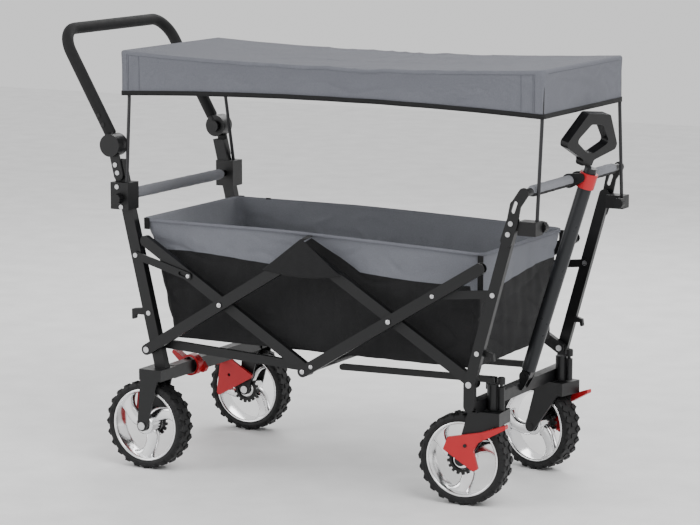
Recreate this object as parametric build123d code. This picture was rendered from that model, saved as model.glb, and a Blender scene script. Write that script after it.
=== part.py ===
from build123d import *
import os
from math import atan2, cos, degrees, hypot, radians, sin, tan

os.makedirs("parts", exist_ok=True)

# Folding pull wagon, millimetres. +X is the front (pull handle), -Y the left side, Z = 0 the floor.

# driving dimensions
tyre_radius = 102.5
tyre_width = 49
rim_radius = 84.4
fold_angle = 31.5            # slope of every side bar when the wagon stands open
arm_short = 230              # from a frame pivot to the crossing of its two bars
arm_long = 252               # from that crossing to the middle hinges
pivot_rear_x = -388
pivot_z = 280
outer_layer = (-252, -238)   # side tubes lie in two layers, with a gap for the links
inner_layer = (-233, -219)
link_layer = (-237, -234.2)
tube_depth = 25
tube_wall = 1.6
pin_radius = 4
pin_play = 0.05
post_lean = 13.3             # rear posts lean back
joint_xz = (-483, 745)       # push handle hinge
handle_lean = 30
handle_reach = 296
canopy_box = (-476, 587, 217, 858, 962)
basket_top = (-424, 447, 577)   # the tub is longer at its rim than at its floor
basket_floor = (-356, 430, 304)
basket_half = 212.4
kingpin_x = 458
caster_y = 180
caster_trail = 63
caster_turn = {"left": 4, "right": -13}
rear_axle_x = -395.5
rear_wheel_y = 229
pull_pivot = (455, 258)
pull_lean = 17.3

# derived places
c, s = cos(radians(fold_angle)), sin(radians(fold_angle))
cross_rear = (pivot_rear_x + arm_short * c, pivot_z + arm_short * s)
middle_x = pivot_rear_x + (arm_short + arm_long) * c
middle_top = (middle_x, pivot_z + (arm_short + arm_long) * s)
middle_low = (middle_x, pivot_z + (arm_short - arm_long) * s)
pivot_front_x = 2 * middle_x - pivot_rear_x
cross_front = (2 * middle_x - cross_rear[0], cross_rear[1])
pivot_rear = (pivot_rear_x, pivot_z)
pivot_front = (pivot_front_x, pivot_z)


def prism(sketch, y0, y1):
    """Sketch in X and Z, pulled from y0 to y1."""
    return extrude(Plane.XZ.offset(-y1) * sketch, y1 - y0)


def disc(at, radius, y0, y1):
    return prism(Pos(*at) * Circle(radius), y0, y1)


def slot(a, b, width):
    turn = degrees(atan2(b[1] - a[1], b[0] - a[0]))
    middle = Pos((a[0] + b[0]) / 2, (a[1] + b[1]) / 2)
    return middle * Rot(0, 0, turn) * SlotCenterToCenter(hypot(b[0] - a[0], b[1] - a[1]), width)


def strip(a, b, width):
    turn = degrees(atan2(b[1] - a[1], b[0] - a[0]))
    middle = Pos((a[0] + b[0]) / 2, (a[1] + b[1]) / 2)
    return middle * Rot(0, 0, turn) * Rectangle(hypot(b[0] - a[0], b[1] - a[1]), width)


def flat_tube(a, b, layer, holes, depth=tube_depth):
    """Flat tube with round ends, open at both ends, drilled for its pins."""
    y0, y1 = layer
    length = hypot(b[0] - a[0], b[1] - a[1])
    along = ((b[0] - a[0]) / length, (b[1] - a[1]) / length)
    far_a = (a[0] - depth * along[0], a[1] - depth * along[1])
    far_b = (b[0] + depth * along[0], b[1] + depth * along[1])
    tube = prism(slot(a, b, depth), y0, y1)
    tube -= prism(strip(far_a, far_b, depth - 2 * tube_wall), y0 + tube_wall, y1 - tube_wall)
    for hole, play in holes:
        tube -= disc(hole, pin_radius + play, y0 - 1, y1 + 1)
    return tube


def pin(at, y0, y1, head=7, thick=1.6):
    """Rivet with a head outside each end."""
    return disc(at, pin_radius, y0, y1) + disc(at, head, y0 - thick, y0) + disc(at, head, y1, y1 + thick)


def outline(points, radius):
    return fillet(Polygon(*points, align=None).vertices(), radius)


def rod(a, b, radius):
    a, b = Vector(*a), Vector(*b)
    from_start = (Align.CENTER, Align.CENTER, Align.MIN)
    return Plane(origin=a, z_dir=b - a) * Cylinder(radius, (b - a).length, align=from_start)


def pair(shape):
    return [shape, mirror(shape, Plane.XZ)]


def block(x0, x1, y0, y1, z0, z1):
    return Pos((x0 + x1) / 2, (y0 + y1) / 2, (z0 + z1) / 2) * Box(x1 - x0, y1 - y0, z1 - z0)


def save(name, solids):
    whole = []
    for shape in solids if isinstance(solids, (list, tuple)) else [solids]:
        whole += shape.solids()
    export_step(Compound(children=whole) if len(whole) > 1 else whole[0], f"parts/{name}.step")


# side bars, two layers deep, each left bar mirrored to the right
def side_bars():
    rear_end = (cross_rear[0] - 245 * c, cross_rear[1] + 245 * s)
    front_end = (cross_front[0] + 256 * c, cross_front[1] + 256 * s)
    link_rear_on_bar = (cross_rear[0] - 108 * c, cross_rear[1] + 108 * s)
    link_front_on_bar = (cross_front[0] + 124.7 * c, cross_front[1] + 124.7 * s)
    bars = {
        "bar_rear_outer": (pivot_rear, middle_top, outer_layer,
                           [(pivot_rear, pin_play), (cross_rear, 0), (middle_top, 0)]),
        "bar_rear_inner": (rear_end, middle_low, inner_layer, [(cross_rear, pin_play), (middle_low, 0)]),
        "bar_front_inner": (middle_top, pivot_front, inner_layer,
                            [(middle_top, pin_play), (cross_front, 0), (pivot_front, pin_play)]),
        "bar_front_outer": (middle_low, front_end, outer_layer,
                            [(middle_low, pin_play), (cross_front, pin_play)]),
    }
    pins = {
        "bar_rear_outer": [pin(cross_rear, -252, -219), pin(middle_top, -252, -219)],
        "bar_rear_inner": [],
        "bar_front_inner": [pin(cross_front, -252, -219)],
        "bar_front_outer": [],
    }
    for name, (a, b, layer, holes) in bars.items():
        solids = pair(flat_tube(a, b, layer, holes))
        for one in pins[name]:
            solids += pair(one)
        save(name, solids)
    # the cross tube joins the two lower middle hinges and is the pin of both
    tube = rod((middle_low[0], -253.6, middle_low[1]), (middle_low[0], 253.6, middle_low[1]), pin_radius)
    tube += rod((middle_low[0], -215, middle_low[1]), (middle_low[0], 215, middle_low[1]), 8)
    save("centre_cross_tube", [tube])
    return link_rear_on_bar, link_front_on_bar


def post_x(z):
    return joint_xz[0] + (joint_xz[1] - z) * tan(radians(post_lean))


rear_post_layer = (-233, -213)
crown_top = 236
post_top = 712
cross_tube_z = (207, 237)
link_rear_post = (post_x(494.5), 494.5)
floor_rear_pivot = (post_x(290), 290)


def rear_frame():
    y0, y1 = rear_post_layer
    half = 14 / cos(radians(post_lean))
    foot, head = crown_top, post_top
    shape = Polygon((post_x(foot) - half, foot), (post_x(foot) + half, foot), (post_x(head) + half, head),
                    (post_x(head) - half, head), align=None)
    post = prism(shape, y0, y1)
    inner = half - tube_wall
    hollow = Polygon((post_x(foot - 5) - inner, foot - 5), (post_x(foot - 5) + inner, foot - 5),
                     (post_x(head + 5) + inner, head + 5), (post_x(head + 5) - inner, head + 5), align=None)
    post -= prism(hollow, y0 + tube_wall, y1 - tube_wall)
    ear = disc(pivot_rear, 13, y0, y0 + 4) - prism(shape, y0 - 1, y1 + 1)
    save("rear_posts", pair(post) + pair(ear))

    low = block(-371.5, -346.5, -196, 196, *cross_tube_z)
    low -= block(-369.5, -348.5, -197, 197, cross_tube_z[0] + 2, cross_tube_z[1] - 2)
    grip = rod((post_x(631), -209, 631), (post_x(631), 209, 631), 8)
    save("rear_cross_tubes", [low, grip])
    sleeve = rod((post_x(631), -196, 631), (post_x(631), 196, 631), 13)
    sleeve -= rod((post_x(631), -197, 631), (post_x(631), 197, 631), 8)
    save("rear_grip_pad", [sleeve])

    axle = (rear_axle_x, tyre_radius)
    crown = block(-402, -343, -262, -196, 210, crown_top)
    crown -= disc(axle, tyre_radius + 4, -257, -201)
    leg = make_hull((Pos(-374, 226) * Rectangle(46, 18)).edges() + (Pos(*axle) * Circle(13)).edges())
    fork = crown + prism(leg, -262, -257) + prism(leg, -201, -196)
    fork -= disc(axle, 6, -263, -195)
    brake_pin = disc((rear_axle_x - 33, tyre_radius + 36.5), pin_radius, -201, -184)
    arm = prism(slot(axle, (rear_axle_x - 33, tyre_radius + 36.5), 18), -201, -196)
    arm -= disc(axle, 6, -263, -195)
    save("rear_forks", pair(fork + arm + brake_pin))

    clamp = block(-479, -431, -253, -209, 600, 662) - prism(shape, y0, y1)
    foot_at, head_at = bow_rear_points()[:2]
    clamp -= rod(foot_at, head_at, 4)
    clamp -= disc((post_x(626), 626), 3.05, -254, -240)
    save("canopy_clamps_rear", pair(clamp))

    hook = outline([(post_x(366) - 14.4, 372), (-440, 368), (-440, 344), (-434, 344), (-432, 356),
                    (post_x(354) - 14.4, 356)], 1.5)
    save("rear_hooks", pair(prism(hook, -230, -216) - prism(shape, y0, y1)))

    lower = disc(joint_xz, 26, -250, -232.2) + prism(slot(joint_xz, (post_x(676), 676), 24), -239, -233.2)
    lower += disc(joint_xz, 6, -250, -222)
    save("handle_joints_lower", pair(lower))

    rivets = []
    for at, base in (((post_x(708), 700), -239), ((post_x(684), 682), -239), (link_rear_post, -237)):
        rivets += pair(pin_head(at, base))
    for z in (606, 652):
        rivets += pair(pin_head((post_x(z), z), -253))
    rivets += pair(pin_head((post_x(362), 362), -233))
    rivets += pair(disc(link_rear_post, pin_radius, -237, -233))
    hinge = disc(pivot_rear, pin_radius, -252, -233) + disc(pivot_rear, 7, -253.6, -252)
    rivets += pair(hinge + disc(pivot_rear, 7, -237.9, -233))
    rivets += pair(disc(floor_rear_pivot, pin_radius, -213, -199.8)
                   + disc(floor_rear_pivot, 7, -199.8, -198.4))
    axles = disc(axle, 6, -262, -196) + disc(axle, 9, -266, -262) + disc(axle, 9, -196, -194)
    save("rear_pins", rivets + pair(axles))


def pin_head(at, base, radius=5.5, thick=2):
    """Rivet head standing outward from a left-hand face."""
    return disc(at, radius, base - thick, base)


def bow_rear_points():
    side = [(-443, -243, 612), (-454, -208, 850), (-458, -205, 954.7)]
    return side + [(x, -y, z) for x, y, z in reversed(side)]


def bow_front_points():
    side = [(580, -230, 616), (580, -208, 850), (580, -205, 954.7)]
    return side + [(x, -y, z) for x, y, z in reversed(side)]


def bow(name, points):
    path = FilletPolyline(*points, radius=16)
    start = Plane(origin=path @ 0, z_dir=path % 0)
    save(name, [sweep(start * Circle(4), path=path)])


def canopy():
    x0, x1, half, z0, z1 = canopy_box
    shell = block(x0, x1, -half, half, z0, z1)
    shell = fillet(shell.edges().filter_by(Axis.Z) + shell.faces().sort_by(Axis.Z)[-1].edges(), 8)
    shell -= block(x0 + 3, x1 - 3, 3 - half, half - 3, z0 - 1, z1 - 3)
    save("canopy_fabric", [shell])


def basket():
    rear, front, rim = basket_top
    low_rear, low_front, floor = basket_floor
    side = [(low_rear, floor), (low_front, floor), (front, rim), (rear, rim)]
    tub = prism(Polygon(*side, align=None), -basket_half, basket_half)
    room = [(low_rear + 4, floor + 3), (low_front - 3, floor + 3), (front - 3, rim + 1), (rear + 4, rim + 1)]
    save("basket_fabric", [tub - prism(Polygon(*room, align=None), 3 - basket_half, basket_half - 3)])


front_slope = 0.275


def front_x(z):
    return pivot_front[0] + (z - pivot_z) * front_slope


link_front_post = (front_x(480), 480)
front_bar = (561, 704)
front_tube = (421.5, 446.5, 216, 241)
floor_front_pivot = (414, 262)


def front_frame():
    y0, y1 = outer_layer
    foot, bend, head = (pivot_front[0], 232), pivot_front, (front_x(640), 640)
    post = prism(slot(foot, bend, tube_depth), y0, y1) + prism(slot(bend, head, tube_depth), y0, y1)
    inside = strip((foot[0], 200), (foot[0], 262), tube_depth - 2 * tube_wall)
    post -= prism(inside, y0 + tube_wall, y1 - tube_wall)
    post -= prism(strip((front_x(320), 320), (front_x(670), 670), tube_depth - 2 * tube_wall),
                  y0 + tube_wall, y1 - tube_wall)
    post -= disc(pivot_front, pin_radius, y0 - 1, y1 + 1)
    save("front_posts", pair(post))

    x0, x1, z0, z1 = front_tube
    low = block(x0, x1, -238, 238, z0, z1) - block(x0 + 2, x1 - 2, -239, 239, z0 + 2, z1 - 2)
    low += block(x0 + 4, x1 - 4, -120, 120, z0 + 1, z0 + 4)
    lugs = block(404, 424, -90, -86, 241, 268) + block(404, 424, -104, -100, 241, 268)
    lugs = lugs + mirror(lugs, Plane.XZ)
    lug_pins = disc(floor_front_pivot, pin_radius, -104, -86)
    rod_top = rod((front_bar[0], -252, front_bar[1]), (front_bar[0], 252, front_bar[1]), 8)
    save("front_cross_tubes", [low, rod_top] + lugs.solids() + pair(lug_pins - lugs))
    sleeve = rod((front_bar[0], -222, front_bar[1]), (front_bar[0], 222, front_bar[1]), 12.3)
    sleeve -= rod((front_bar[0], -223, front_bar[1]), (front_bar[0], 223, front_bar[1]), 8)
    save("front_grip_pad", [sleeve])

    kingpin = (kingpin_x, -caster_y)
    housing = Pos(*kingpin, 243.75) * Cylinder(13, 56.5)
    housing += Pos(kingpin_x + 20, -caster_y, 241.5) * Cylinder(7.6, 50)
    housing += block(kingpin_x + 10, kingpin_x + 20, -caster_y - 5, -caster_y + 5, 217, 266)
    housing -= Pos(*kingpin, 239.5) * Cylinder(8.05, 49)
    housing -= Pos(kingpin_x + 20, -caster_y, 241) * Cylinder(3.55, 60)
    housing -= block(x0 - 5, x1, -238, 238, 200, 290)
    save("caster_housings", pair(housing))

    lug = make_hull((Pos(*pull_pivot) * Circle(12)).edges() + (Pos(448.5, 243) * Rectangle(4, 34)).edges())
    bracket = prism(lug, -15.5, -10.5) + prism(lug, 10.5, 15.5) + block(446.5, 450.5, -15.5, 15.5, 226, 244)
    bracket -= block(x0 - 5, x1, -20, 20, z0 - 5, z1 + 0.05)
    bracket += disc(pull_pivot, pin_radius, -18, 18)
    save("pull_bracket", [bracket])

    arch = prism(slot((front_x(600), 600), (front_x(640) + 2, 640), 27), -257, -252)
    arch += prism(slot((front_x(640) + 2, 640), (542, 676), 25), -257, -252)
    arch += prism(slot((542, 676), front_bar, 23), -257, -252)
    arch -= prism(slot((537, 664), (543, 682), 9), -258, -251)
    save("front_top_brackets", pair(arch))

    clamp = block(546, 588, -252, -216, 613, 643) - prism(slot(bend, head, tube_depth + 0.4), y0 - 1, y1 + 1)
    foot_at, head_at = bow_front_points()[:2]
    clamp = clamp.solids().sort_by(Axis.X)[-1] - rod(foot_at, head_at, 4)
    clamp -= disc((583, 628), 3.05, -221.5, -215)
    save("canopy_clamps_front", pair(clamp))

    hook = outline([(front_x(352) + 13, 356), (486, 350), (488, 334), (482, 333), (480, 342),
                    (front_x(342) + 13, 342)], 1.2)
    save("front_hooks", pair(prism(hook, -250, -240) - prism(slot(bend, head, tube_depth), y0, y1)))

    rivets = []
    for z in (614.5, 638):
        rivets += pair(pin_head((front_x(z), z), -257))
    rivets += pair(pin_head(link_front_post, -252)) + pair(pin_head((front_x(350), 350), -252))
    rivets += pair(pin(pivot_front, -252, -219))
    rivets += pair(disc(link_front_post, pin_radius, -238, -233.9)
                   + disc(link_front_post, 6, -233.9, -232.9))
    save("front_rivets", rivets)

    arm = make_hull((Pos(*front_bar) * Circle(16)).edges() + (Pos(588, 712) * Circle(10)).edges())
    arm -= Pos(*front_bar) * Circle(12.3)
    clip = prism(arm, -24.8, -20.8) + prism(arm, 20.8, 24.8) + block(543.5, 547, -24.8, 24.8, 697, 711)
    save("handle_clip", [clip])


def links(rear_end, front_end):
    rear = prism(slot(link_rear_post, rear_end, 18), *link_layer)
    mid = ((rear_end[0] + link_rear_post[0]) / 2, (rear_end[1] + link_rear_post[1]) / 2)
    reach = (rear_end[0] - 0.28 * (rear_end[0] - mid[0]), rear_end[1] - 0.28 * (rear_end[1] - mid[1]))
    rear -= prism(slot(reach, rear_end, 9), link_layer[0] - 1, link_layer[1] + 1)
    rear -= disc(link_rear_post, pin_radius + pin_play, -240, -230)
    save("link_rear", pair(rear))
    front = prism(slot(link_front_post, front_end, 18), *link_layer)
    front -= disc(link_front_post, pin_radius + pin_play, -240, -230)
    save("link_front", pair(front))


def floor_bars():
    tip = (-14, 272)
    rear = prism(slot(floor_rear_pivot, tip, 20), -211, -200)
    rear -= disc(floor_rear_pivot, pin_radius + pin_play, -212, -199)
    save("floor_bar_rear", pair(rear))
    tip = (40, 254)
    front = prism(slot(floor_front_pivot, tip, 14), -99.5, -90.5)
    front -= disc(floor_front_pivot, pin_radius + pin_play, -100, -90)
    save("floor_bar_front", pair(front))


def push_handle():
    lean = radians(handle_lean)
    y = -221.85

    def along(reach):
        return (joint_xz[0] - reach * sin(lean), joint_xz[1] + reach * cos(lean))

    def at(reach, y):
        x, z = along(reach)
        return (x, y, z)

    path = FilletPolyline(at(27, y), at(handle_reach, y), at(handle_reach, -y), at(27, -y), radius=58)
    start = Plane(origin=path @ 0, z_dir=path % 0)
    tube = sweep(start * Circle(13.5), path=path) - sweep(start * Circle(11.5), path=path)
    save("push_handle_tube", [tube])
    half = disc(joint_xz, 26, -231.7, -212) + rod(at(15, y), at(75, y), 11.5)
    half -= disc(joint_xz, 26.5, -240, -231.7)
    half -= disc(joint_xz, 6 + pin_play, -232, -222)
    half -= disc(joint_xz, 8.1, -222.1, -200)
    heads = []
    for reach in (52, 76):
        heads.append(rod(at(reach, y - 15), at(reach, y - 13.5), 4.8))
    save("push_handle_joints", pair(half) + [solid for head in heads for solid in pair(head)])
    button = disc(joint_xz, 14, -207.5, -201.5) + disc(joint_xz, 8, -217, -207.5)
    for side, shape in zip(("left", "right"), pair(button)):
        save(f"push_button_{side}", [shape])


def tooth_ring(y0, y1, phase):
    """Brake ring with sixteen teeth round the wheel's own axis, one gap centred on phase."""
    ring = Circle(29)
    step = 360 / 16
    for number in range(16):
        turn = Rot(0, 0, phase + (number + 0.5) * step)
        ring += turn * Pos(31, 0) * Rectangle(6.5, 5)
    return prism(ring - Circle(22), y0, y1)


def wheel(brake_side, phase):
    """Tyre and rim round the origin, axle along Y, brake ring on the given side."""
    half = tyre_width / 2
    profile = fillet(Rectangle(tyre_radius - rim_radius, tyre_width).vertices(), 7.5)
    profile = Pos((tyre_radius + rim_radius) / 2, 0) * profile
    tyre = revolve(profile, Axis.Y)
    rim = prism(Circle(rim_radius) - Circle(76), -19, 19)
    rim += prism(Circle(22) - Circle(6 + pin_play), -half - 0.5, half + 0.5)
    for number in range(3):
        rim += prism(Rot(0, 0, 30 + 120 * number) * Pos(49, 0) * Rectangle(58, 24), -6, 6)
    y0, y1 = (-25.6, -20) if brake_side < 0 else (20, 25.6)
    return tyre, rim, tooth_ring(y0, y1, phase)


front_brake_pivot, rear_brake_pivot = (15, 36), (-33, 36.5)
front_pawl, rear_pawl = (36, -12), (-40, -3)
brake_travel = 8


def engaged_phase(pawl, pivot, turn):
    """Direction of the pawl from the axle once the lever has turned on to the ring."""
    dx, dz = pawl[0] - pivot[0], pawl[1] - pivot[1]
    ct, st = cos(radians(turn)), sin(radians(turn))
    return degrees(atan2(pivot[1] + dx * st + dz * ct, pivot[0] + dx * ct - dz * st))


def front_brake():
    body = outline([(-26, 52), (-37, 24), (34, -20), (45, -14), (34, 26), (44, 44), (112, 82), (112, 91),
                    (50, 68)], 3)
    pedal = outline([(62, 54), (112, 82), (112, 91), (58, 70)], 2)
    lever = prism(body, -42, -34) + prism(pedal, -50, -34)
    lever -= disc(front_brake_pivot, pin_radius + pin_play, -60, 0)
    return lever + disc(front_pawl, 1.8, -34, -21)


def rear_brake():
    body = outline([(-56, 84), (-46, 86), (31, 42), (29, 34), (-62, -17), (-68, -10)], 3)
    pedal = outline([(-66, 80), (-56, 90), (-44, 85), (-52, 62)], 2)
    lever = prism(body, 34, 42) + prism(pedal, 34, 54)
    lever -= disc(rear_brake_pivot, pin_radius + pin_play, 0, 60)
    return lever + disc(rear_pawl, 2.7, 21, 34)


def wheels_and_casters():
    axle = (0, 0)
    for side, flip in (("left", 1), ("right", -1)):
        rear = Pos(rear_axle_x, -flip * rear_wheel_y, tyre_radius)
        phase = engaged_phase(rear_pawl, rear_brake_pivot, brake_travel)
        tyre, rim, ring = wheel(flip, phase)
        save(f"tyre_rear_{side}", [rear * tyre])
        save(f"rim_rear_{side}", [rear * rim, rear * ring])
        lever = rear_brake() if flip > 0 else mirror(rear_brake(), Plane.XZ)
        save(f"brake_rear_{side}", [rear * lever])

        pivot = (kingpin_x, -flip * caster_y)
        turn = Pos(*pivot, 0) * Rot(0, 0, caster_turn[side])
        place = turn * Pos(-caster_trail, 0, tyre_radius)
        phase = engaged_phase(front_pawl, front_brake_pivot, -brake_travel)
        tyre, rim, ring = wheel(-flip, phase)
        save(f"tyre_front_{side}", [place * tyre])
        save(f"rim_front_{side}", [place * rim, place * ring])
        lever = front_brake() if flip > 0 else mirror(front_brake(), Plane.XZ)
        save(f"brake_front_{side}", [place * lever])

        crown = block(17, 91, -33, 33, 82, 111.5) - disc(axle, tyre_radius + 4, -28, 28)
        crown += block(17, 91, -33, 33, 107.5, 111.5)
        leg = make_hull((Pos(48, 97) * Rectangle(60, 28)).edges() + (Pos(0, 0) * Circle(13)).edges())
        fork = crown + prism(leg, -33, -28) + prism(leg, 28, 33)
        fork += Pos(caster_trail, 0, 135) * Cylinder(8, 48)
        if flip > 0:
            fork += prism(slot(axle, front_brake_pivot, 22), -33, -28)
            fork += disc(front_brake_pivot, pin_radius, -44, -28)
        else:
            fork += prism(slot(axle, front_brake_pivot, 22), 28, 33)
            fork += disc(front_brake_pivot, pin_radius, 28, 44)
        fork -= disc(axle, 6, -34, 34)
        bolt = disc(axle, 6, -33, 33) + disc(axle, 9, -33.9, -33) + disc(axle, 9, 33, 33.9)
        save(f"caster_fork_{side}", [place * fork, place * bolt])

        knob = Pos(kingpin_x + 20, -flip * caster_y, 281) * Cylinder(8.5, 16)
        knob = fillet(knob.edges().group_by(Axis.Z)[-1], 3)
        knob += Pos(kingpin_x + 20, -flip * caster_y, 244.75) * Cylinder(3.5, 58.5)
        save(f"swivel_lock_{side}", [knob])


def canopy_knobs():
    def knob(at, y0, y1, stem0, stem1):
        grip = disc(at, 12, y0, y1)
        for number in range(10):
            lobe = Pos(at[0] + 12.6 * cos(radians(36 * number)), at[1] + 12.6 * sin(radians(36 * number)))
            grip -= prism(lobe * Circle(1.8), y0 - 1, y1 + 1)
        return grip + disc(at, 3, stem0, stem1)

    rear = knob((post_x(626), 626), -270, -254, -254, -240)
    front = knob((583, 628), -215, -199, -221, -215)
    for side, shape in zip(("left", "right"), pair(rear)):
        save(f"canopy_knob_rear_{side}", [shape])
    for side, shape in zip(("left", "right"), pair(front)):
        save(f"canopy_knob_front_{side}", [shape])


def foot_lever():
    centre = (-359, 222)
    hub = disc(centre, 25, -112, -90) - disc(centre, 20.2, -113, -89)
    toe = prism(outline([(-372, 236), (-404, 256), (-408, 248), (-380, 222)], 3), -112, -90)
    heel = prism(outline([(-342, 236), (-326, 214), (-332, 204), (-340, 204)], 3), -108, -94)
    ends = toe + heel - disc(centre, 22, -113, -89)
    save("foot_lever", [hub + ends])


def pull_handle():
    lean = Pos(pull_pivot[0], 0, pull_pivot[1]) * Rot(0, pull_lean, 0)
    outer = Pos(0, 0, 249.5) * Cylinder(16, 471) - Pos(0, 0, 264) * Cylinder(14, 462)
    outer += Pos(0, 0, 10) * Box(22, 20, 20) + Rot(90, 0, 0) * Cylinder(11, 20)
    outer -= Rot(90, 0, 0) * Cylinder(pin_radius + pin_play, 40)
    save("pull_tube_outer", [lean * outer])
    collar = Pos(0, 0, 468) * Cylinder(20, 34) - Pos(0, 0, 468) * Cylinder(16, 40)
    pad_room = rod((front_bar[0], -30, front_bar[1]), (front_bar[0], 30, front_bar[1]), 13.4)
    save("pull_collar", [lean * collar - pad_room])
    inner = Pos(0, 0, 276) * Cylinder(13.95, 442)
    save("pull_tube_inner", [lean * inner])
    half_shape = [(-15, 0), (-17, 16), (-80, 42), (-82, 54), (-36, 120)]
    other_half = [(-across, up) for across, up in reversed(half_shape)]
    shape = outline(half_shape + other_half, 9)
    hole = outline([(-18, 96), (18, 96), (54, 57), (11, 32), (-11, 32), (-54, 57)], 9)
    grip = extrude(Plane.YZ.offset(-11) * (shape - hole), 22)
    grip = Pos(0, 0, 495) * Rot(0, 0, -18) * Rot(0, -4, 0) * grip
    grip -= Pos(0, 0, 487) * Cylinder(20, 20)
    grip -= Pos(0, 0, 480) * Cylinder(20, 24)
    save("pull_grip", [lean * (grip - inner)])


link_rear_on_bar, link_front_on_bar = side_bars()
rear_frame()
bow("canopy_bow_rear", bow_rear_points())
bow("canopy_bow_front", bow_front_points())
canopy()
basket()
front_frame()
links(link_rear_on_bar, link_front_on_bar)
floor_bars()
push_handle()
wheels_and_casters()
canopy_knobs()
foot_lever()
pull_handle()
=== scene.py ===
import math

import bmesh
import bpy
import numpy as np
from mathutils import Matrix, Vector


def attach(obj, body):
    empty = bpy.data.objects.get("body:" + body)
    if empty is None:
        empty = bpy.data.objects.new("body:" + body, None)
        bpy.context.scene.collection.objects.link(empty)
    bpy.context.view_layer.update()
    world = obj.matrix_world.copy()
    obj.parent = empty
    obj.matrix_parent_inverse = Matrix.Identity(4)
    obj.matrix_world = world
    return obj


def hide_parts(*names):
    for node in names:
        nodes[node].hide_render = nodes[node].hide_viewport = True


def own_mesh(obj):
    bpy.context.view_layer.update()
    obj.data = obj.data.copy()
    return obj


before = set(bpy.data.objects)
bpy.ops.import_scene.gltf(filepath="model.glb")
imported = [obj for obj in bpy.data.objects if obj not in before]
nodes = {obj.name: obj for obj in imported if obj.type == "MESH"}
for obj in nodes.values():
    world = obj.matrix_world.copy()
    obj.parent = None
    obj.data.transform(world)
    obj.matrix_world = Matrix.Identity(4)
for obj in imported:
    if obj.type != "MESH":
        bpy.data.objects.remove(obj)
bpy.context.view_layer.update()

# camera, fitted to the wheels and posts
camera = bpy.data.objects.new("camera", bpy.data.cameras.new("camera"))
bpy.context.collection.objects.link(camera)
bpy.context.scene.camera = camera
camera.location = (2.927, -5.355, 1.476)
camera.rotation_euler = Vector((-0.4725, 0.8664, -0.1616)).to_track_quat("-Z", "Y").to_euler()
camera.data.lens = 138.7
camera.data.sensor_width = 36
print("stage: camera")


class Value:
    # a shader socket that takes part in Python sums
    def __init__(self, net, socket):
        self.net = net
        self.socket = socket

    def mix(self, kind, other=None, swap=False):
        node = self.net.tree.nodes.new("ShaderNodeMath")
        node.operation = kind
        terms = [self, other] if not swap else [other, self]
        for place, term in enumerate(terms):
            if isinstance(term, Value):
                self.net.tree.links.new(term.socket, node.inputs[place])
            elif term is not None:
                node.inputs[place].default_value = term
        return Value(self.net, node.outputs[0])

    def __add__(self, other):
        return self.mix("ADD", other)

    def __sub__(self, other):
        return self.mix("SUBTRACT", other)

    def __rsub__(self, other):
        return self.mix("SUBTRACT", other, swap=True)

    def __mul__(self, other):
        return self.mix("MULTIPLY", other)

    def __rmul__(self, other):
        return self.mix("MULTIPLY", other, swap=True)

    def above(self, other):
        return self.mix("GREATER_THAN", other)

    def sine(self):
        return self.mix("SINE")

    def size(self):
        return self.mix("ABSOLUTE")


class Net:
    def __init__(self, name):
        self.material = bpy.data.materials.new(name)
        self.material.use_nodes = True
        self.tree = self.material.node_tree
        self.surface = next(n for n in self.tree.nodes if n.type == "BSDF_PRINCIPLED")
        where = self.make("ShaderNodeTexCoord").outputs["Object"]
        split = self.make("ShaderNodeSeparateXYZ", Vector=where)
        self.x, self.y, self.z = (Value(self, out) for out in split.outputs)

    def make(self, kind, **inputs):
        node = self.tree.nodes.new(kind)
        for name, value in inputs.items():
            self.put(node.inputs[name.replace("_", " ")], value)
        return node

    def put(self, socket, value):
        if isinstance(value, Value):
            self.tree.links.new(value.socket, socket)
        elif isinstance(value, bpy.types.NodeSocket):
            self.tree.links.new(value, socket)
        else:
            socket.default_value = value

    def noise(self, scale, detail=2.0):
        where = self.make("ShaderNodeTexCoord").outputs["Object"]
        node = self.make("ShaderNodeTexNoise", Vector=where, Scale=scale, Detail=detail)
        return Value(self, node.outputs[0])

    def blend(self, amount, first, second):
        node = self.tree.nodes.new("ShaderNodeMix")
        node.data_type = "RGBA"
        self.put(node.inputs["Factor"], amount)
        colors = [s for s in node.inputs if s.type == "RGBA"]
        self.put(colors[0], first)
        self.put(colors[1], second)
        return [s for s in node.outputs if s.type == "RGBA"][0]

    def bump(self, height, distance, strength=1.0):
        node = self.make("ShaderNodeBump", Height=height, Strength=strength, Distance=distance)
        self.put(self.surface.inputs["Normal"], node.outputs[0])

    def set(self, **inputs):
        for name, value in inputs.items():
            self.put(self.surface.inputs[name.replace("_", " ")], value)


def shade(color, by=1.0):
    return tuple(min(1.0, c * by) for c in color) + (1.0,)


def coated(name, color, rough, metal=0.0, grain=700, depth=0.00006):
    net = Net(name)
    tone = net.noise(9.0, 3.0)
    net.set(Base_Color=net.blend(tone, shade(color, 0.85), shade(color, 1.15)), Metallic=metal)
    net.set(Roughness=net.noise(60.0) * 0.16 + (rough - 0.08), Specular_IOR_Level=0.36)
    net.bump(net.noise(grain), depth)
    return net.material


def woven(name, color, band=None, rough=0.85, pitch=0.0016):
    # crossed threads with soft creases; band gives a second color and where it lies
    net = Net(name)
    step = 2 * math.pi / pitch
    threads = (net.x * step).sine() * (net.y * step).sine()
    threads = threads + (net.x * step).sine() * (net.z * step).sine()
    threads = threads + (net.y * step).sine() * (net.z * step).sine()
    heather = net.noise(420.0, 2.0)
    dark, light = 0.82, 1.18
    tone = net.blend(heather, shade(color, dark), shade(color, light))
    if band:
        second = net.blend(heather, shade(band[0], dark), shade(band[0], light))
        tone = net.blend(band[1](net), tone, second)
    net.set(Base_Color=tone, Roughness=net.noise(35.0) * 0.1 + (rough - 0.05), Sheen_Weight=0.03,
            Specular_IOR_Level=0.3)
    crumple = net.noise(13.0, 3.0) * 11.0 + net.noise(38.0, 2.0) * 3.0
    net.bump(threads + heather * 0.7 + crumple, 0.00022, 0.7)
    return net.material


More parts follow.
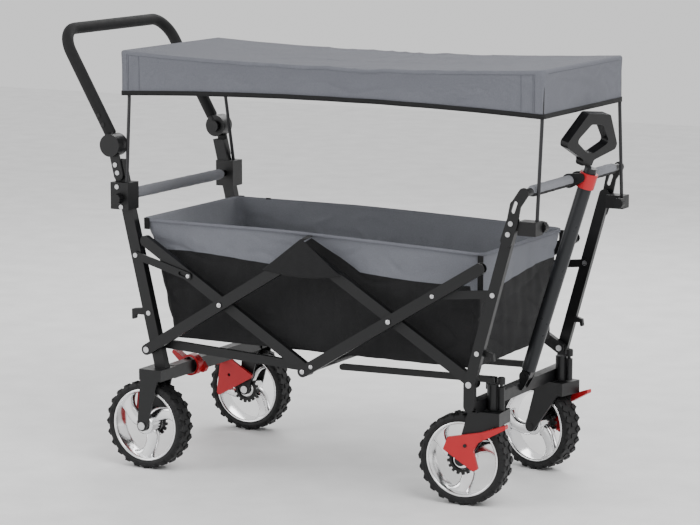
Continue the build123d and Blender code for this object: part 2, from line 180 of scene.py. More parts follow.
charcoal = coated("charcoal_coat", (0.0048, 0.005, 0.0055), 0.36)
pullGrey = coated("pull_grey", (0.018, 0.019, 0.021), 0.3, metal=0.3)
blackPlastic = coated("black_plastic", (0.0045, 0.0045, 0.005), 0.42, grain=1500)
foamBlack = coated("foam_black", (0.0045, 0.0045, 0.005), 0.75, grain=420, depth=0.0004)
redPlastic = coated("red_plastic", (0.43, 0.012, 0.018), 0.33, grain=1500)
steel = coated("zinc_steel", (0.62, 0.62, 0.63), 0.3, metal=1.0)
poleBlack = coated("pole_black", (0.02, 0.02, 0.022), 0.3)
chrome = coated("rim_chrome", (0.88, 0.885, 0.9), 0.17, metal=1.0, depth=0.00002)
rubber = coated("tyre_rubber", (0.0055, 0.0055, 0.006), 0.58, grain=260, depth=0.0003)
greyCloth = woven("grey_cloth", (0.138, 0.143, 0.165))
blackCloth = woven("black_cloth", (0.0045, 0.0045, 0.0052), rough=0.7)
thread = woven("thread", (0.09, 0.093, 0.105), pitch=0.0008)
padCloth = woven("pad_cloth", (0.21, 0.215, 0.235))


def basketBand(net):
    # grey band round the rim, with the black gusset that peaks at the middle of each side
    ripple = (net.x * 17.0).sine() * 0.003
    edge = 0.4985 - 0.03 * (net.x + 0.1) + ripple
    peak = (0.563 - net.z - (net.x - 0.022).size() * 0.6).above(0.0)
    sides = net.y.size().above(0.17)
    panel = net.x.above(0.41) * (net.y * 9.0).sine() * 0.012
    return net.z.above(edge + panel) * (1.0 - peak * sides)


def innerBand(net):
    return net.z.above(0.43)


basketInner = woven("basket_inner", (0.03, 0.03, 0.033), band=((0.21, 0.218, 0.242), innerBand))
basketCloth = woven("basket_cloth", (0.0045, 0.0045, 0.0053), rough=0.68,
                    band=((0.165, 0.172, 0.196), basketBand))
print("stage: materials")

finishes = {
    charcoal: ("bar_", "link_", "floor_bar", "rear_posts", "rear_cross", "rear_forks", "front_posts",
               "front_cross", "front_top", "caster_", "centre_cross", "pull_bracket"),
    blackPlastic: ("canopy_clamps", "rear_hooks", "front_hooks", "handle_joints_lower", "push_handle_joints",
                   "push_button", "swivel_lock", "canopy_knob", "handle_clip", "pull_grip"),
    foamBlack: ("push_handle_tube",),
    pullGrey: ("pull_tube_outer", "pull_tube_inner"),
    redPlastic: ("pull_collar", "foot_lever", "brake_"),
    steel: ("rear_pins", "front_rivets"),
    poleBlack: ("canopy_bow",),
}
for finish, starts in finishes.items():
    for name, node in nodes.items():
        if name.startswith(starts):
            node.data.materials.clear()
            node.data.materials.append(finish)

# pressed and moulded pieces get small round edges
softened = ("bar_", "front_posts", "rear_posts", "rear_forks", "caster_fork", "brake_", "canopy_clamps",
            "pull_grip", "front_top", "rear_cross", "front_cross", "floor_bar", "foot_lever", "handle_joints",
            "push_handle_joints", "swivel_lock")
for name, node in nodes.items():
    if name.startswith(softened):
        edge = node.modifiers.new("edge", "BEVEL")
        edge.width = 0.0014
        edge.segments = 2
        edge.limit_method = "ANGLE"
        edge.angle_limit = math.radians(50)


def solid(name, points, faces, finish, smooth=True):
    mesh = bpy.data.meshes.new(name)
    mesh.from_pydata([tuple(p) for p in points], [], [tuple(f) for f in faces])
    mesh.validate()
    mesh.materials.append(finish)
    obj = bpy.data.objects.new(name, mesh)
    bpy.context.collection.objects.link(obj)
    for polygon in mesh.polygons:
        polygon.use_smooth = smooth
    return obj


def rings(name, grid, finish, closed=(True, False), caps=False, smooth=True):
    # grid[i][j] is a point, i along the profile and j round the ring
    rows, columns = len(grid), len(grid[0])
    points = np.asarray(grid, float).reshape(-1, 3)
    faces = []
    for i in range(rows - (0 if closed[1] else 1)):
        for j in range(columns - (0 if closed[0] else 1)):
            a, b = i * columns + j, i * columns + (j + 1) % columns
            c, d = ((i + 1) % rows) * columns + (j + 1) % columns, ((i + 1) % rows) * columns + j
            faces.append((a, b, c, d))
    if caps:
        faces.append(tuple(reversed(range(columns))))
        faces.append(tuple((rows - 1) * columns + j for j in range(columns)))
    obj = solid(name, points, faces, finish, smooth)
    faceOut(obj)
    return obj


def faceOut(obj):
    shape = bmesh.new()
    shape.from_mesh(obj.data)
    bmesh.ops.recalc_face_normals(shape, faces=shape.faces)
    shape.to_mesh(obj.data)
    shape.free()


def merged(name, objects):
    # one mesh from several, with their materials
    points, faces, mats, index, smooth = [], [], [], [], []
    for obj in objects:
        base = len(points)
        points += [tuple(v.co) for v in obj.data.vertices]
        for polygon in obj.data.polygons:
            faces.append([base + v for v in polygon.vertices])
            finish = obj.data.materials[polygon.material_index]
            if finish not in mats:
                mats.append(finish)
            index.append(mats.index(finish))
            smooth.append(polygon.use_smooth)
    mesh = bpy.data.meshes.new(name)
    mesh.from_pydata(points, [], faces)
    for finish in mats:
        mesh.materials.append(finish)
    mesh.polygons.foreach_set("material_index", index)
    mesh.polygons.foreach_set("use_smooth", smooth)
    mesh.update()
    for obj in objects:
        old = obj.data
        bpy.data.objects.remove(obj)
        bpy.data.meshes.remove(old)
    result = bpy.data.objects.new(name, mesh)
    bpy.context.collection.objects.link(result)
    return result


def boxAt(name, centre, size, finish, turn=None):
    half = [s / 2 for s in size]
    corners = [Vector((sx * half[0], sy * half[1], sz * half[2])) for sx in (-1, 1) for sy in (-1, 1)
               for sz in (-1, 1)]
    turn = turn or Matrix.Identity(4)
    points = [tuple(turn @ c + Vector(centre)) for c in corners]
    faces = [(0, 1, 3, 2), (4, 6, 7, 5), (0, 4, 5, 1), (2, 3, 7, 6), (0, 2, 6, 4), (1, 5, 7, 3)]
    obj = solid(name, points, faces, finish, smooth=False)
    faceOut(obj)
    return obj


def repeated(name, item, count, radius, finish):
    # geometry nodes: the item at even steps round the Y axis, then made a plain mesh
    host = solid(name, [(0, 0, 0)], [], finish)
    group = bpy.data.node_groups.new(name, "GeometryNodeTree")
    face = group.interface
    face.new_socket("Geometry", in_out="INPUT", socket_type="NodeSocketGeometry")
    counted = face.new_socket("Count", in_out="INPUT", socket_type="NodeSocketInt")
    reach = face.new_socket("Radius", in_out="INPUT", socket_type="NodeSocketFloat")
    face.new_socket("Geometry", in_out="OUTPUT", socket_type="NodeSocketGeometry")
    add, link = group.nodes.new, group.links.new
    enter, leave = add("NodeGroupInput"), add("NodeGroupOutput")
    line = add("GeometryNodeMeshLine")
    link(enter.outputs["Count"], line.inputs["Count"])
    line.inputs["Offset"].default_value = (0, 0, 0)
    number = add("GeometryNodeInputIndex")
    turn = add("ShaderNodeMath")
    turn.operation = "MULTIPLY"
    share = add("ShaderNodeMath")
    share.operation = "DIVIDE"
    share.inputs[0].default_value = 2 * math.pi
    link(enter.outputs["Count"], share.inputs[1])
    link(number.outputs[0], turn.inputs[0])
    link(share.outputs[0], turn.inputs[1])
    spin = add("ShaderNodeCombineXYZ")
    link(turn.outputs[0], spin.inputs["Y"])
    sine, cosine = add("ShaderNodeMath"), add("ShaderNodeMath")
    sine.operation, cosine.operation = "SINE", "COSINE"
    spot = add("ShaderNodeCombineXYZ")
    for node, axis in ((sine, "X"), (cosine, "Z")):
        link(turn.outputs[0], node.inputs[0])
        scaled = add("ShaderNodeMath")
        scaled.operation = "MULTIPLY"
        link(node.outputs[0], scaled.inputs[0])
        link(enter.outputs["Radius"], scaled.inputs[1])
        link(scaled.outputs[0], spot.inputs[axis])
    moved = add("GeometryNodeSetPosition")
    link(line.outputs[0], moved.inputs["Geometry"])
    link(spot.outputs[0], moved.inputs["Position"])
    info = add("GeometryNodeObjectInfo")
    info.inputs["Object"].default_value = item
    placed = add("GeometryNodeInstanceOnPoints")
    link(moved.outputs[0], placed.inputs["Points"])
    link(info.outputs["Geometry"], placed.inputs["Instance"])
    link(spin.outputs[0], placed.inputs["Rotation"])
    real = add("GeometryNodeRealizeInstances")
    link(placed.outputs[0], real.inputs[0])
    painted = add("GeometryNodeSetMaterial")
    painted.inputs["Material"].default_value = finish
    link(real.outputs[0], painted.inputs["Geometry"])
    link(painted.outputs[0], leave.inputs[0])
    modifier = host.modifiers.new("repeat", "NODES")
    modifier.node_group = group
    modifier[counted.identifier] = count
    modifier[reach.identifier] = radius
    bpy.context.view_layer.update()
    shape = host.evaluated_get(bpy.context.evaluated_depsgraph_get())
    mesh = bpy.data.meshes.new_from_object(shape)
    bpy.data.objects.remove(host)
    bpy.data.objects.remove(item)
    mesh.materials.clear()
    mesh.materials.append(finish)
    result = bpy.data.objects.new(name, mesh)
    bpy.context.collection.objects.link(result)
    return result


# wheels, made once round the origin with the axle along Y
tyre = {"radius": 0.1025, "crown": 0.1006, "side": 0.0955, "lugs": 24}


def revolved(name, profile, finish, steps=128):
    grid = []
    for reach, across in profile:
        grid.append([(reach * math.sin(a), across, reach * math.cos(a))
                     for a in np.linspace(0, 2 * math.pi, steps, endpoint=False)])
    return rings(name, grid, finish, closed=(True, True))


def mirrored(profile, middle=()):
    return profile + list(middle) + [(reach, -across) for reach, across in reversed(profile)]


def makeTyre():
    profile = [(0.0843, -0.0205), (0.0862, -0.0232), (0.0905, -0.0243), (0.0952, -0.0238),
               (0.0985, -0.0212), (0.1, -0.016)]
    parts = [revolved("tyre_body", mirrored(profile, [(tyre["crown"], 0.0)]), rubber)]
    step = 2 * math.pi / tyre["lugs"]
    for side in (-1, 1):
        lean = Matrix.Rotation(side * 0.55, 4, "Z")
        lug = boxAt("lug", (0, side * 0.0165, 0), (0.0125, 0.0135, 0.0034), rubber, lean)
        parts.append(repeated(f"shoulder_lugs_{side + 1}", lug, tyre["lugs"], tyre["crown"], rubber))
        wall = boxAt("wall", (0, side * 0.0236, 0), (0.0115, 0.0016, 0.0085), rubber,
                     Matrix.Rotation(side * 0.32, 4, "X"))
        parts.append(repeated(f"wall_lugs_{side + 1}", wall, tyre["lugs"], tyre["side"], rubber))
    block = boxAt("block", (0, 0, 0), (0.0105, 0.0135, 0.0034), rubber)
    centre = repeated("centre_blocks", block, tyre["lugs"], tyre["crown"], rubber)
    centre.data.transform(Matrix.Rotation(step / 2, 4, "Y"))
    parts.append(centre)
    return merged("tyre_master", parts)


def makeRim():
    band = [(0.0844, -0.0212), (0.0838, -0.0232), (0.0812, -0.0236), (0.079, -0.0225),
            (0.0782, -0.019), (0.0775, -0.006)]
    hub = [(0.0062, -0.0246), (0.018, -0.0246), (0.0215, -0.0225), (0.0225, -0.018)]
    parts = [revolved("rim_band", mirrored(band), chrome), revolved("rim_hub", mirrored(hub), chrome, 64)]
    for number in range(3):
        base = number * 2 * math.pi / 3 + 0.3
        grid = []
        for t in np.linspace(0, 1, 15):
            reach = 0.0195 + t * 0.0595
            middle = base + 0.62 * t ** 1.2
            spread = 0.52 * (1 - t) ** 1.6 + 0.16 + 0.19 * t ** 4
            deep = 0.0115 - 0.004 * t + 0.004 * t ** 3
            row = []
            for u in np.linspace(0, 2 * math.pi, 20, endpoint=False):
                across = math.copysign(abs(math.cos(u)) ** 0.6, math.cos(u))
                out = math.copysign(abs(math.sin(u)) ** 0.75, math.sin(u))
                angle = middle + spread * across
                row.append((reach * math.sin(angle), deep * out, reach * math.cos(angle)))
            grid.append(row)
        parts.append(rings(f"spoke_{number}", grid, chrome, caps=True))
    return merged("rim_master", parts)


def makeTeeth(side):
    # the brake ring: sixteen teeth round a flat collar
    bore, root, tip = 0.0222, 0.0282, 0.0338
    outline = []
    for number in range(16):
        at = (number + 0.5) * math.pi / 8
        for offset, reach in ((-0.13, root), (-0.085, tip), (0.085, tip), (0.13, root)):
            outline.append((reach * math.sin(at + offset), reach * math.cos(at + offset)))
    near, far = side * 0.0256, side * 0.02
    inner = [(bore * x / math.hypot(x, z), bore * z / math.hypot(x, z)) for x, z in outline]
    grid = [[(x, near, z) for x, z in inner], [(x, near, z) for x, z in outline],
            [(x, far, z) for x, z in outline], [(x, far, z) for x, z in inner]]
    return rings("teeth_master", grid, blackPlastic, closed=(True, True), smooth=False)


tyreMaster, rimMaster = makeTyre(), makeRim()
teethNear, teethFar = makeTeeth(-1), makeTeeth(1)
rearAxle = {"x": -0.3955, "y": 0.229}
kingpin = {"x": 0.458, "y": 0.18, "trail": 0.063}
casterTurns = {"left": 4.0, "right": -13.0}
# brake pivot and pawl from the axle in millimetres, and how far the lever is turned
engaged = {"front": ((15, 36), (36, -12), -8), "rear": ((-33, 36.5), (-40, -3), 8)}
spokeTurn = 0.35


def toothPhase(end):
    # the angle at which a gap between teeth has to meet the pawl
    pivot, pawl, turn = engaged[end]
    dx, dz = pawl[0] - pivot[0], pawl[1] - pivot[1]
    ct, st = math.cos(math.radians(turn)), math.sin(math.radians(turn))
    return math.atan2(pivot[1] + dx * st + dz * ct, pivot[0] + dx * ct - dz * st)


def copyOf(master, name, place):
    obj = bpy.data.objects.new(name, master.data.copy())
    obj.data.name = name
    bpy.context.collection.objects.link(obj)
    obj.data.transform(place)
    return obj


for end in ("rear", "front"):
    for side, flip in (("left", 1), ("right", -1)):
        if end == "rear":
            place = Matrix.Translation((rearAxle["x"], -flip * rearAxle["y"], tyre["radius"]))
            teeth = teethFar if flip > 0 else teethNear
        else:
            turn = math.radians(casterTurns[side])
            place = (Matrix.Translation((kingpin["x"], -flip * kingpin["y"], 0))
                     @ Matrix.Rotation(turn, 4, "Z")
                     @ Matrix.Translation((-kingpin["trail"], 0, tyre["radius"])))
            teeth = teethNear if flip > 0 else teethFar
        body = f"wheel_{end}_{side}"
        outer = copyOf(tyreMaster, f"tyre_look_{end}_{side}", place)
        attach(outer, body)
        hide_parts(f"tyre_{end}_{side}")
        inner = copyOf(rimMaster, f"rim_look_{end}_{side}", place @ Matrix.Rotation(spokeTurn * flip, 4, "Y"))
        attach(inner, body)
        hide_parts(f"rim_{end}_{side}")
        spun = Matrix.Rotation(-toothPhase(end), 4, "Y") @ Matrix.Rotation(math.pi / 2, 4, "Y")
        ring = copyOf(teeth, f"brake_ring_{end}_{side}", place @ spun)
        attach(ring, body)
for master in (tyreMaster, rimMaster, teethNear, teethFar):
    bpy.data.objects.remove(master)
print("stage: wheels")


# smooth seeded waves for cloth
def waves(seed, count, low, high):
    draw = np.random.default_rng(seed)
    size = draw.uniform(low, high, count)
    angle = draw.uniform(0, 2 * math.pi, count)
    phase = draw.uniform(0, 2 * math.pi, count)

    def at(u, v):
        total = 0.0
        for s, a, p in zip(size, angle, phase):
            total = total + np.sin((u * math.cos(a) + v * math.sin(a)) * 2 * math.pi / s + p)
        return total / count
    return at


def creases(seed, count, low, high):
    # sharper folds than waves gives: ridges that fade in and out
    ridge, fade = waves(seed, count, low, high), waves(seed + 100, 4, low * 3, high * 2)

    def at(u, v):
        return (1 - np.abs(ridge(u, v) * 2.2)) ** 3 * np.clip(0.5 + fade(u, v) * 1.2, 0, 1)
    return at


def loopPoints(x0, x1, half, radius, count):
    # even points round a rectangle with round corners, with their outward directions
    straightX, straightY = (x1 - x0) - 2 * radius, 2 * half - 2 * radius
    arc = math.pi / 2 * radius
    total = 2 * straightX + 2 * straightY + 2 * math.pi * radius
    centres = [(x0 + radius, -half + radius), (x1 - radius, -half + radius),
               (x1 - radius, half - radius), (x0 + radius, half - radius)]
    steps = np.linspace(0, total, count, endpoint=False)
    found = []
    for s in steps + 0.5 * straightY + straightX * 2 + straightY + 2 * math.pi * radius:
        s = s % total
        for number in range(4):
            run = straightX if number % 2 == 0 else straightY
            start = (-math.pi / 2) + number * math.pi / 2
            normal = (math.cos(start), math.sin(start))
            if s <= run:
                x, y = centres[number]
                found.append((x - normal[1] * s + normal[0] * radius, y + normal[0] * s + normal[1] * radius,
                              normal[0], normal[1]))
                break
            s -= run
            if s <= arc:
                turn = start + s / radius
                x, y = centres[(number + 1) % 4]
                found.append((x + math.cos(turn) * radius, y + math.sin(turn) * radius,
                              math.cos(turn), math.sin(turn)))
                break
            s -= arc
    return found


# canopy: one sheet, skirt and top, held at its four top corners
canopy = {"x0": -0.4745, "x1": 0.5855, "half": 0.2155, "hem": 0.858, "top": 0.9605, "rise": 0.013,
          "sag": 0.015, "corner": 0.010, "points": 420, "rolled": 0.006}


def canopyShare(x):
    # how far along the canopy x is, from 0 at the rear to 1 at the front
    return (x - canopy["x0"]) / (canopy["x1"] - canopy["x0"])


def canopyTop(x, y):
    u = canopyShare(x)
    v = y / canopy["half"]
    long = 4 * u * (1 - u)
    hang = canopy["sag"] * long + 0.006 * (1 - v * v) * long
    ripple = (canopyWave(x, y) * 0.0026 + canopyCrease(x, y) * 0.0028) * long
    return canopy["top"] - hang + ripple


canopyWave = waves(11, 7, 0.09, 0.32)
canopyCrease = creases(13, 5, 0.08, 0.2)
skirtWave = waves(12, 6, 0.07, 0.22)
skirtCrease = creases(14, 5, 0.05, 0.16)


def canopyHem(x):
    u = canopyShare(x)
    return canopy["hem"] + canopy["rise"] * 4 * u * (1 - u)


def looseness(x, nx):
    # the skirt is held at the poles and free between them
    u = canopyShare(x)
    return min(1.0, 5 * min(u, 1 - u) + (0.25 if abs(nx) > 0.7 else 0.0))


def skirtPoint(x, y, nx, ny, t):
    # t runs from 0 at the hem to 1 at the top edge
    free = looseness(x, nx)
    inward = 0.004 * free * math.sin(math.pi * t) + free * 0.0028 * skirtWave(x + y, t * 0.12)
    inward += free * 0.0026 * skirtCrease(x + y, t * 0.1) * math.sin(math.pi * min(1, t + 0.15))
    inward = max(0.0, inward + 0.0035 * (1 - t) * free)
    low, top = canopyHem(x), canopyTop(x, y) - canopy["rolled"]
    return (x - nx * inward, y - ny * inward, low + (top - low) * t)


def towardsLine(x, y, t, x0, x1, half):
    middle = min(max(x, x0 + half), x1 - half)
    return x + (middle - x) * t, y * (1 - t)


def weld(obj):
    shape = bmesh.new()
    shape.from_mesh(obj.data)
    bmesh.ops.remove_doubles(shape, verts=shape.verts, dist=0.0004)
    bmesh.ops.recalc_face_normals(shape, faces=shape.faces)
    shape.to_mesh(obj.data)
    shape.free()
    for polygon in obj.data.polygons:
        polygon.use_smooth = True


def makeCanopy():
    outline = loopPoints(canopy["x0"], canopy["x1"], canopy["half"], canopy["corner"], canopy["points"])
    grid = [[skirtPoint(*place, t) for place in outline] for t in np.linspace(0, 1, 24)]
    rolled = canopy["rolled"]
    for t in (0.3, 0.6, 0.85, 1.0):
        inset = rolled * (1 - math.cos(t * math.pi / 2))
        row = []
        for x, y, nx, ny in outline:
            px, py = x - nx * inset, y - ny * inset
            row.append((px, py, canopyTop(x, y) - rolled + rolled * math.sin(t * math.pi / 2)))
        grid.append(row)
    edge = grid[-1]
    for t in np.linspace(0.03, 1.0, 34):
        row = []
        for x, y, z in edge:
            px, py = towardsLine(x, y, t, canopy["x0"], canopy["x1"], canopy["half"])
            row.append((px, py, canopyTop(px, py)))
        grid.append(row)
    sheet = rings("canopy_sheet", grid, greyCloth)
    weld(sheet)
    thick = sheet.modifiers.new("thick", "SOLIDIFY")
    thick.thickness = 0.0014
    thick.offset = -1
    return sheet, outline


def ribbon(line, width, depth, up=(0, 0, 1)):
    # the grid of a flat band; line gives each point and its outward direction
    grid = []
    for (x, y, z), (nx, ny, nz) in line:
        row = []
        for across, out in ((-0.5, 0), (-0.5, 1), (0.5, 1), (0.5, 0)):
            row.append((x + nx * depth * out + up[0] * width * across,
                        y + ny * depth * out + up[1] * width * across,
                        z + nz * depth * out + up[2] * width * across))
        grid.append(row)
    return grid


def stitches(name, places, length, size, finish):
    # short threads; each place is (centre, direction, outward)
    points, faces = [], []
    for centre, along, out in places:
        centre, along, out = Vector(centre), Vector(along).normalized(), Vector(out).normalized()
        cross = along.cross(out)
        base = len(points)
        for a in (-1, 1):
            for b, c in ((-1, 0), (0, 1), (1, 0)):
                points.append(centre + along * (a * length / 2) + cross * (b * size / 2)
                              + out * (c * size * 0.6))
        prism = [(0, 1, 4, 3), (1, 2, 5, 4), (0, 3, 5, 2), (0, 2, 1), (3, 4, 5)]
        faces += [tuple(base + corner for corner in face) for face in prism]
    obj = solid(name, points, faces, finish, smooth=False)
    faceOut(obj)
    return obj


sheet, outline = makeCanopy()
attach(sheet, "rear_frame")
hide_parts("canopy_fabric")
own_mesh(sheet)
hemLine = []
for x, y, nx, ny in outline:
    free = looseness(x, nx)
    inward = max(0.0, 0.0035 * free + free * 0.0026 * skirtWave(x + y, 0.0)) - 0.0003
    hemLine.append(((x - nx * inward, y - ny * inward, canopyHem(x) + 0.0045), (nx, ny, 0)))
hem = rings("canopy_hem", ribbon(hemLine, 0.0105, 0.0014), blackCloth, closed=(True, True))
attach(hem, "rear_frame")
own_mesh(hem)


def canopyStitches():
    places = []
    proud, topRow = 0.0002, 0.97
    for flip in (-1, 1):
        y = flip * canopy["half"]
        for inset in (0.020, 0.024, 0.052):
            for x in (canopy["x0"] + inset, canopy["x1"] - inset):
                for t in np.linspace(0.14, 0.96, 26):
                    px, py, pz = skirtPoint(x, y, 0, flip, t)
                    places.append(((px, py + flip * proud, pz), (0, 0, 1), (0, flip, 0)))
        for x in np.linspace(canopy["x0"] + 0.02, canopy["x1"] - 0.02, 250):
            px, py, pz = skirtPoint(x, y, 0, flip, topRow)
            places.append(((px, py + flip * proud, pz), (1, 0, 0), (0, flip, 0)))
    for x, nx in ((canopy["x0"], -1), (canopy["x1"], 1)):
        for y in np.linspace(-0.19, 0.19, 90):
            px, py, pz = skirtPoint(x, y, nx, 0, topRow)
            places.append(((px + nx * proud, py, pz), (0, 1, 0), (nx, 0, 0)))
    seam = stitches("canopy_stitches", places, 0.0028, 0.0008, thread)
    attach(seam, "rear_frame")
    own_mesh(seam)
    return seam


seam = canopyStitches()
print("stage: canopy")

# basket: one tub of cloth, open at the top
# rear and front give x at the floor and at the rim
basket = {"floor": 0.3062, "rim": 0.5765, "half": 0.2108, "rear": (-0.354, -0.4225),
          "front": (0.428, 0.4455), "corner": 0.022, "points": 460}


def basketRim(x):
    # level at the rear, dipping towards the front
    return basket["rim"] - 0.0165 * max(0.0, (x + 0.1) / 0.55) ** 1.3 if x > -0.1 else basket["rim"]


basketWave = waves(21, 9, 0.05, 0.24)
basketFolds = waves(22, 6, 0.03, 0.11)
basketCrease = creases(23, 5, 0.06, 0.18)


def basketInward(x, y, ny, z, t):
    # the sides hang in between the rim and the floor, with folds that fan from the corners
    belly = math.sin(math.pi * min(1.0, t * 1.02)) ** 0.8
    u = (x - basket["rear"][0]) / (basket["front"][0] - basket["rear"][0])
    fan = math.sin((u * 26 + (1 - t) * 5) * (1 if u < 0.5 else -1)) * max(0.0, abs(2 * u - 1)) ** 2
    loose = min(1.0, 4 * (1 - t) + 0.15)
    deep = 0.008 * belly * abs(ny) + 0.0046 * (1 + basketWave(x + y, z * 1.3)) * loose
    deep += 0.0042 * loose * basketCrease(x + y * 0.7 + 0.25 * z, z * 0.8)
    deep = deep + 0.0022 * loose * (1 + basketFolds(x * 1.4 + y, z * 0.5))
    return deep + 0.0016 * loose * (1 + fan) * abs(ny)


def makeBasket():
    grid = []
    for t in np.linspace(1, 0, 54):
        x0 = basket["rear"][0] + (basket["rear"][1] - basket["rear"][0]) * t
        x1 = basket["front"][0] + (basket["front"][1] - basket["front"][0]) * t
        row = []
        for x, y, nx, ny in loopPoints(x0, x1, basket["half"], basket["corner"], basket["points"]):
            z = basket["floor"] + (basketRim(x) - basket["floor"]) * t
            inward = basketInward(x, y, ny, z, t)
            row.append((x - nx * inward, y - ny * inward, z))
        grid.append(row)
    edge = grid[-1]
    for t in (0.02, 0.05, 0.12, 0.25, 0.45, 0.7, 1.0):
        row = []
        for x, y, z in edge:
            px, py = towardsLine(x, y, t, basket["rear"][0], basket["front"][0], basket["half"])
            row.append((px, py, basket["floor"]))
        grid.append(row)
    tub = rings("basket_tub", grid, basketCloth)
    weld(tub)
    tub.data.materials.append(basketInner)
    thick = tub.modifiers.new("thick", "SOLIDIFY")
    thick.thickness = 0.0022
    thick.offset = -1
    thick.material_offset = 1
    return tub


tub = makeBasket()
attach(tub, "rear_frame")
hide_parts("basket_fabric")
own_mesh(tub)
rimLine = []
for x, y, nx, ny in loopPoints(basket["rear"][1], basket["front"][1], basket["half"], basket["corner"],
                               basket["points"]):
    inward = basketInward(x, y, ny, basketRim(x), 1.0)
    rimLine.append(((x - nx * inward, y - ny * inward, basketRim(x) - 0.003), (nx, ny, 0)))
binding = rings("basket_binding", ribbon(rimLine, 0.008, 0.0016), greyCloth, closed=(True, True))
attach(binding, "rear_frame")
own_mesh(binding)
print("stage: basket")


# black gusset over the top middle hinge of each side, and the straps at the basket's corners
gusset = {"x": 0.0228, "apex": 0.5635, "fall": 0.0725, "y": 0.2548, "narrow": 0.006, "spread": 0.094}


def makeGusset(side):
    flip = -1 if side == "left" else 1
    grid = []
    for t in np.linspace(0, 1, 22):
        row = []
        half = gusset["narrow"] + gusset["spread"] * t
        for u in np.linspace(-1, 1, 36):
            x = gusset["x"] + half * u
            droop = 0.010 * (1 - u * u) * max(0.0, t - 0.55) / 0.45
            z = gusset["apex"] - gusset["fall"] * t - droop
            out = gusset["y"] + 0.0018 * math.sin(3 * t) * (1 - u * u) + 0.0007 * basketWave(x * 2, z * 2)
            row.append((x, flip * out, z))
        grid.append(row)
    # the first row is sewn to the basket's rim
    top = [(gusset["x"] + 0.007 * u, flip * 0.2135, 0.5695) for u in np.linspace(-1, 1, 36)]
    flap = rings(f"gusset_{side}", [top] + grid, blackCloth, closed=(False, False))
    thick = flap.modifiers.new("thick", "SOLIDIFY")
    thick.thickness = 0.001
    thick.offset = 0
    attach(flap, "bar_rear_outer")


for side in ("left", "right"):
    makeGusset(side)


def strap(name, points, width):
    line = [(point, (0, -1 if point[1] < 0 else 1, 0)) for point in points]
    band = rings(name, ribbon(line, width, 0.0016, up=(1, 0, 0)), blackCloth,
                 closed=(True, False), caps=True, smooth=False)
    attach(band, "rear_frame")
    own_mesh(band)


for flip in (-1, 1):
    strap(f"corner_strap_{flip + 1}", [(0.441, flip * 0.2112, z) for z in np.linspace(0.556, 0.480, 9)],
          0.013)
    strap(f"rear_strap_{flip + 1}", [(-0.408 + 0.02 * (0.577 - z), flip * 0.2114, z)
                                     for z in np.linspace(0.579, 0.553, 6)], 0.014)
strap("inner_strap", [(-0.33, 0.2062, z) for z in np.linspace(0.579, 0.52, 8)], 0.013)
print("stage: straps")


# padded bars: foam sleeves with gathered cloth
def makePad(name, centreX, centreZ, half, radius, seed, body, replaced, two=False):
    fold = waves(seed, 5, 0.012, 0.05)
    grid = []
    for t in np.linspace(-1, 1, 90):
        y = t * half
        end = max(0.0, 1 - (1 - abs(t)) / 0.06)
        row = []
        for a in np.linspace(0, 2 * math.pi, 40, endpoint=False):
            pull = 1 - 0.28 * end ** 2
            crease = 0.0005 + 0.0006 * fold(y, a * 0.012) + 0.0007 * end * math.sin(a * 14)
            reach = radius * pull - crease
            row.append((centreX + reach * math.cos(a), y, centreZ + reach * math.sin(a)))
        grid.append(row)
    pad = rings(name, grid, padCloth, caps=True)
    if two:
        pad.data.materials.append(blackCloth)
        for polygon in pad.data.polygons:
            if polygon.center.z < centreZ - radius * 0.25:
                polygon.material_index = 1
    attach(pad, body)
    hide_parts(replaced)


# the rear bar lies on the line of the leaning posts
rearPost = {"x": -0.483, "z": 0.745, "lean": math.radians(13.3)}
rearPadZ = 0.631
rearPadX = rearPost["x"] + (rearPost["z"] - rearPadZ) * math.tan(rearPost["lean"])
makePad("rear_pad", rearPadX, rearPadZ, 0.1955, 0.0132, 31, "rear_frame", "rear_grip_pad")
makePad("front_pad", 0.561, 0.704, 0.2215, 0.0128, 32, "front_frame", "front_grip_pad", two=True)
print("stage: pads")

# bright rivet heads on the bars, one mesh for each body
fold = {"turn": math.radians(31.5), "rear": -0.388, "z": 0.280, "short": 0.230, "long": 0.252}
cosine, sine = math.cos(fold["turn"]), math.sin(fold["turn"])
crossRear = (fold["rear"] + fold["short"] * cosine, fold["z"] + fold["short"] * sine)
middleX = fold["rear"] + (fold["short"] + fold["long"]) * cosine
crossFront = (2 * middleX - crossRear[0], crossRear[1])
middleLow = (middleX, fold["z"] + (fold["short"] - fold["long"]) * sine)


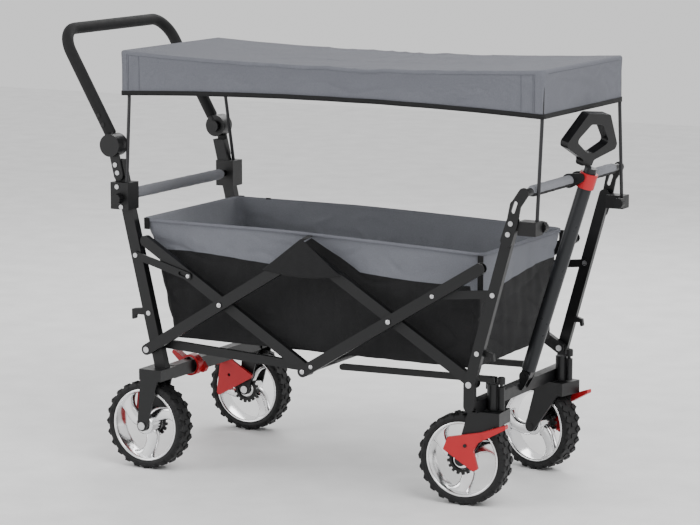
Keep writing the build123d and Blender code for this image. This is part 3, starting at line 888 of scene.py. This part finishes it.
def rivetHeads(name, body, places, radius=0.0058):
    parts = []
    for x, y, z in places:
        out = 1 if y > 0 else -1
        grid = []
        for reach, rise in ((1.0, 0.0), (0.97, 0.0006), (0.8, 0.0014), (0.5, 0.002), (0.15, 0.0023)):
            grid.append([(x + radius * reach * math.cos(a), y + out * rise, z + radius * reach * math.sin(a))
                         for a in np.linspace(0, 2 * math.pi, 28, endpoint=False)])
        parts.append(rings("head", grid, steel, caps=True))
    heads = merged(name, parts)
    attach(heads, body)


def bothSides(y, *spots):
    return [(x, flip * y, z) for flip in (-1, 1) for x, z in spots]


rearLink = (crossRear[0] - 0.108 * cosine, crossRear[1] + 0.108 * sine)
frontLink = (crossFront[0] + 0.1247 * cosine, crossFront[1] + 0.1247 * sine)
besideLow = (middleLow[0] + 0.021, middleLow[1] + 0.0128)
pinFace = 0.2534
rivetHeads("rivets_cross_rear", "bar_rear_outer", bothSides(pinFace, crossRear))
rivetHeads("rivets_cross_front", "bar_front_inner", bothSides(pinFace, crossFront))
rivetHeads("rivets_middle_low", "bar_rear_inner", bothSides(pinFace, middleLow))
rivetHeads("rivets_bar_front", "bar_front_outer", bothSides(0.2519, frontLink, besideLow), 0.005)
rivetHeads("rivets_link_rear", "link_rear", bothSides(0.2369, rearLink), 0.005)
print("stage: rivets")


# floor and light
floor = boxAt("floor", (0, 0, -0.0055), (14, 14, 0.01), coated("floor_pale", (0.93, 0.93, 0.93), 0.75))
world = bpy.data.worlds.new("world")
bpy.context.scene.world = world
world.use_nodes = True
sky = world.node_tree.nodes["Background"]
sky.inputs["Color"].default_value = (1, 1, 1, 1)
sky.inputs["Strength"].default_value = 0.95


def lamp(name, place, target, size, power):
    light = bpy.data.lights.new(name, "AREA")
    light.shape = "RECTANGLE"
    light.size, light.size_y = size
    light.energy = power
    obj = bpy.data.objects.new(name, light)
    obj.location = place
    obj.rotation_euler = (Vector(target) - Vector(place)).to_track_quat("-Z", "Y").to_euler()
    bpy.context.collection.objects.link(obj)


lamp("key", (2.6, -1.6, 3.2), (0, 0, 0.5), (2.4, 2.4), 95)
lamp("fill", (-2.8, -2.6, 1.8), (0, 0, 0.5), (2.2, 2.2), 45)
lamp("back", (-0.6, 2.8, 2.6), (0, 0, 0.6), (2.6, 1.4), 50)
print("stage: light")
